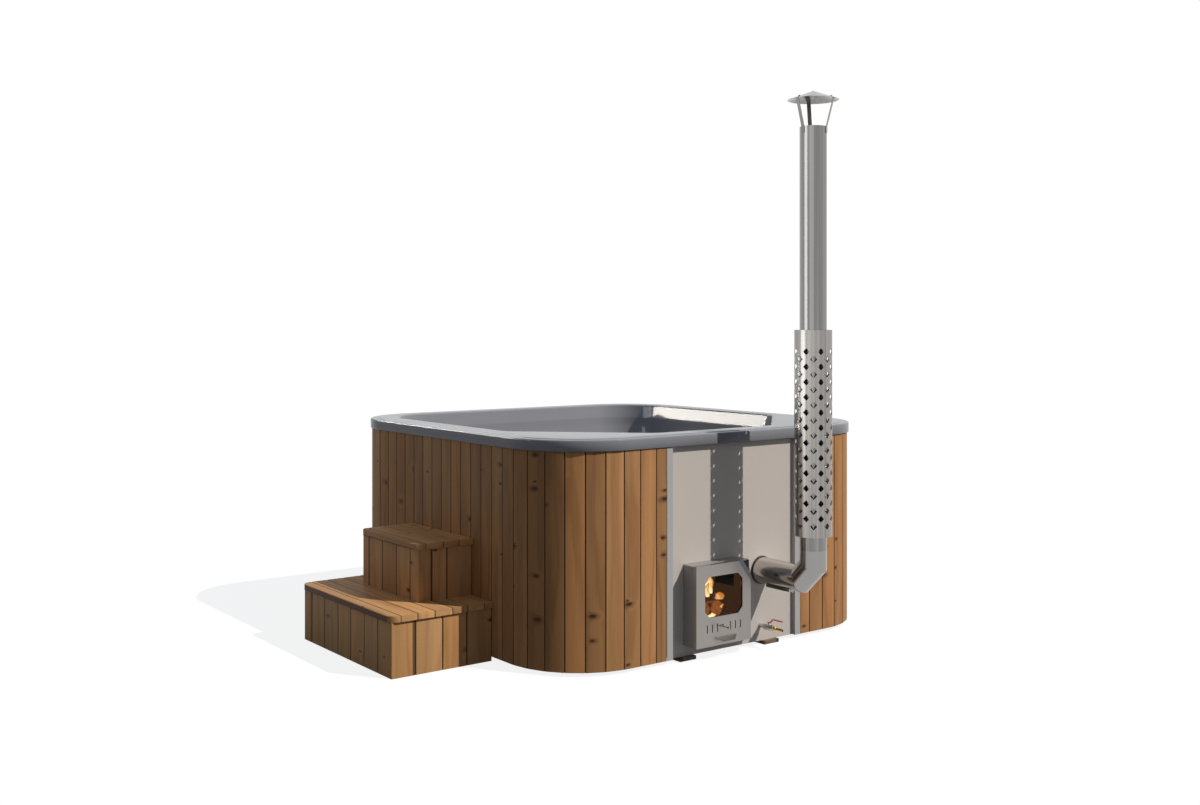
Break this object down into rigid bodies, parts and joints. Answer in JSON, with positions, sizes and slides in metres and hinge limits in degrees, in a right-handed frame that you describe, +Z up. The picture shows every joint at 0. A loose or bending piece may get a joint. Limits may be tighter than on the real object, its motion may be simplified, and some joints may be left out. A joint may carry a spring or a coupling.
{
  "type": "wooden hot tub",
  "caption": "Square timber-clad hot tub with a grey acrylic shell, a built-in wood stove with a glazed door, a guarded steel chimney and loose timber steps.",
  "frame": {"origin": "centre of the tub at the ground, on the underside of the cross batten between the skids", "axes": "+Z up, -Y towards the stove door and chimney, -X towards the steps"},
  "size_m": [2.459, 2.3755, 2.52],
  "materials": {
    "thermowood": "oiled heat-treated softwood with knots",
    "dark_timber": "rough treated timber",
    "raw_timber": "planed softwood",
    "firewood": "charred split wood",
    "acrylic": "polished dark grey acrylic",
    "stove_glass": "clear heat-proof glass",
    "seal_rope": "woven sealing rope",
    "dark_steel": "heat-proof black, matt",
    "red_lever": "satin red",
    "brass": "bright brass",
    "plated_brass": "nickel-plated",
    "stainless": "satin stainless sheet"
  },
  "bodies": {
    "tub": {"ground_skids": "dark_timber", "floor_joists": "raw_timber", "base_deck": "raw_timber", "wall_studs": "raw_timber", "lower_ring": "raw_timber", "middle_ring": "raw_timber", "upper_ring": "raw_timber", "shell_bearers": "raw_timber", "shell_rim": "acrylic", "shell_wall": "acrylic", "shell_bench": "acrylic", "shell_well": "acrylic", "cladding_left": "thermowood", "cladding_back": "thermowood", "cladding_right": "thermowood", "steel_panel": "stainless", "panel_trims": "stainless", "stove_body": "dark_steel", "water_jacket": "dark_steel", "smoke_box": "dark_steel", "fire_grate": "dark_steel", "ash_pan": "dark_steel", "firewood": "firewood", "door_gasket": "seal_rope", "hinge_brackets": "dark_steel", "hinge_pins": "stainless", "heater_pipes": "stainless", "heater_grilles": "acrylic", "flue_collar": "dark_steel", "flue_elbow": "stainless", "cleanout_cover": "stainless", "cleanout_screws": "stainless", "chimney_lower": "stainless", "chimney_upper": "stainless", "heat_guard": "stainless", "guard_spacers": "stainless", "cap_straps": "stainless", "rain_cap": "stainless", "cap_rivets": "stainless", "floor_drain": "plated_brass", "drain_pipe": "plated_brass", "valve_nipple": "plated_brass", "valve_body": "plated_brass", "outlet_tail": "brass", "step_frames": "raw_timber", "lower_step_sides": "thermowood", "upper_step_sides": "thermowood", "step_treads": "thermowood"},
    "stove_door": {"door_casing": "stainless", "door_liner": "stainless", "door_glass": "stove_glass", "liner_screws": "stainless", "door_handle": "stainless", "hinge_leaves": "dark_steel"},
    "air_control": {"air_slide": "dark_steel", "air_knob": "stainless"},
    "drain_lever": {"valve_ball": "plated_brass", "valve_lever": "red_lever", "lever_nut": "plated_brass"}
  },
  "joints": [
    {"name": "stove_door_hinge", "type": "hinge", "parent": "tub", "child": "stove_door", "pos_m": [0.039, -1.0204, 0.2445], "axis": [0, 0, 1], "range_deg": [0, 95]},
    {"name": "air_slide_travel", "type": "slide", "parent": "stove_door", "child": "air_control", "axis": [1, 0, 0], "range_m": [0, 0.015]},
    {"name": "drain_lever_turn", "type": "hinge", "parent": "tub", "child": "drain_lever", "pos_m": [0.176, -1.015, 0.09], "axis": [0, 0, 1], "range_deg": [0, 90]}
  ]
}
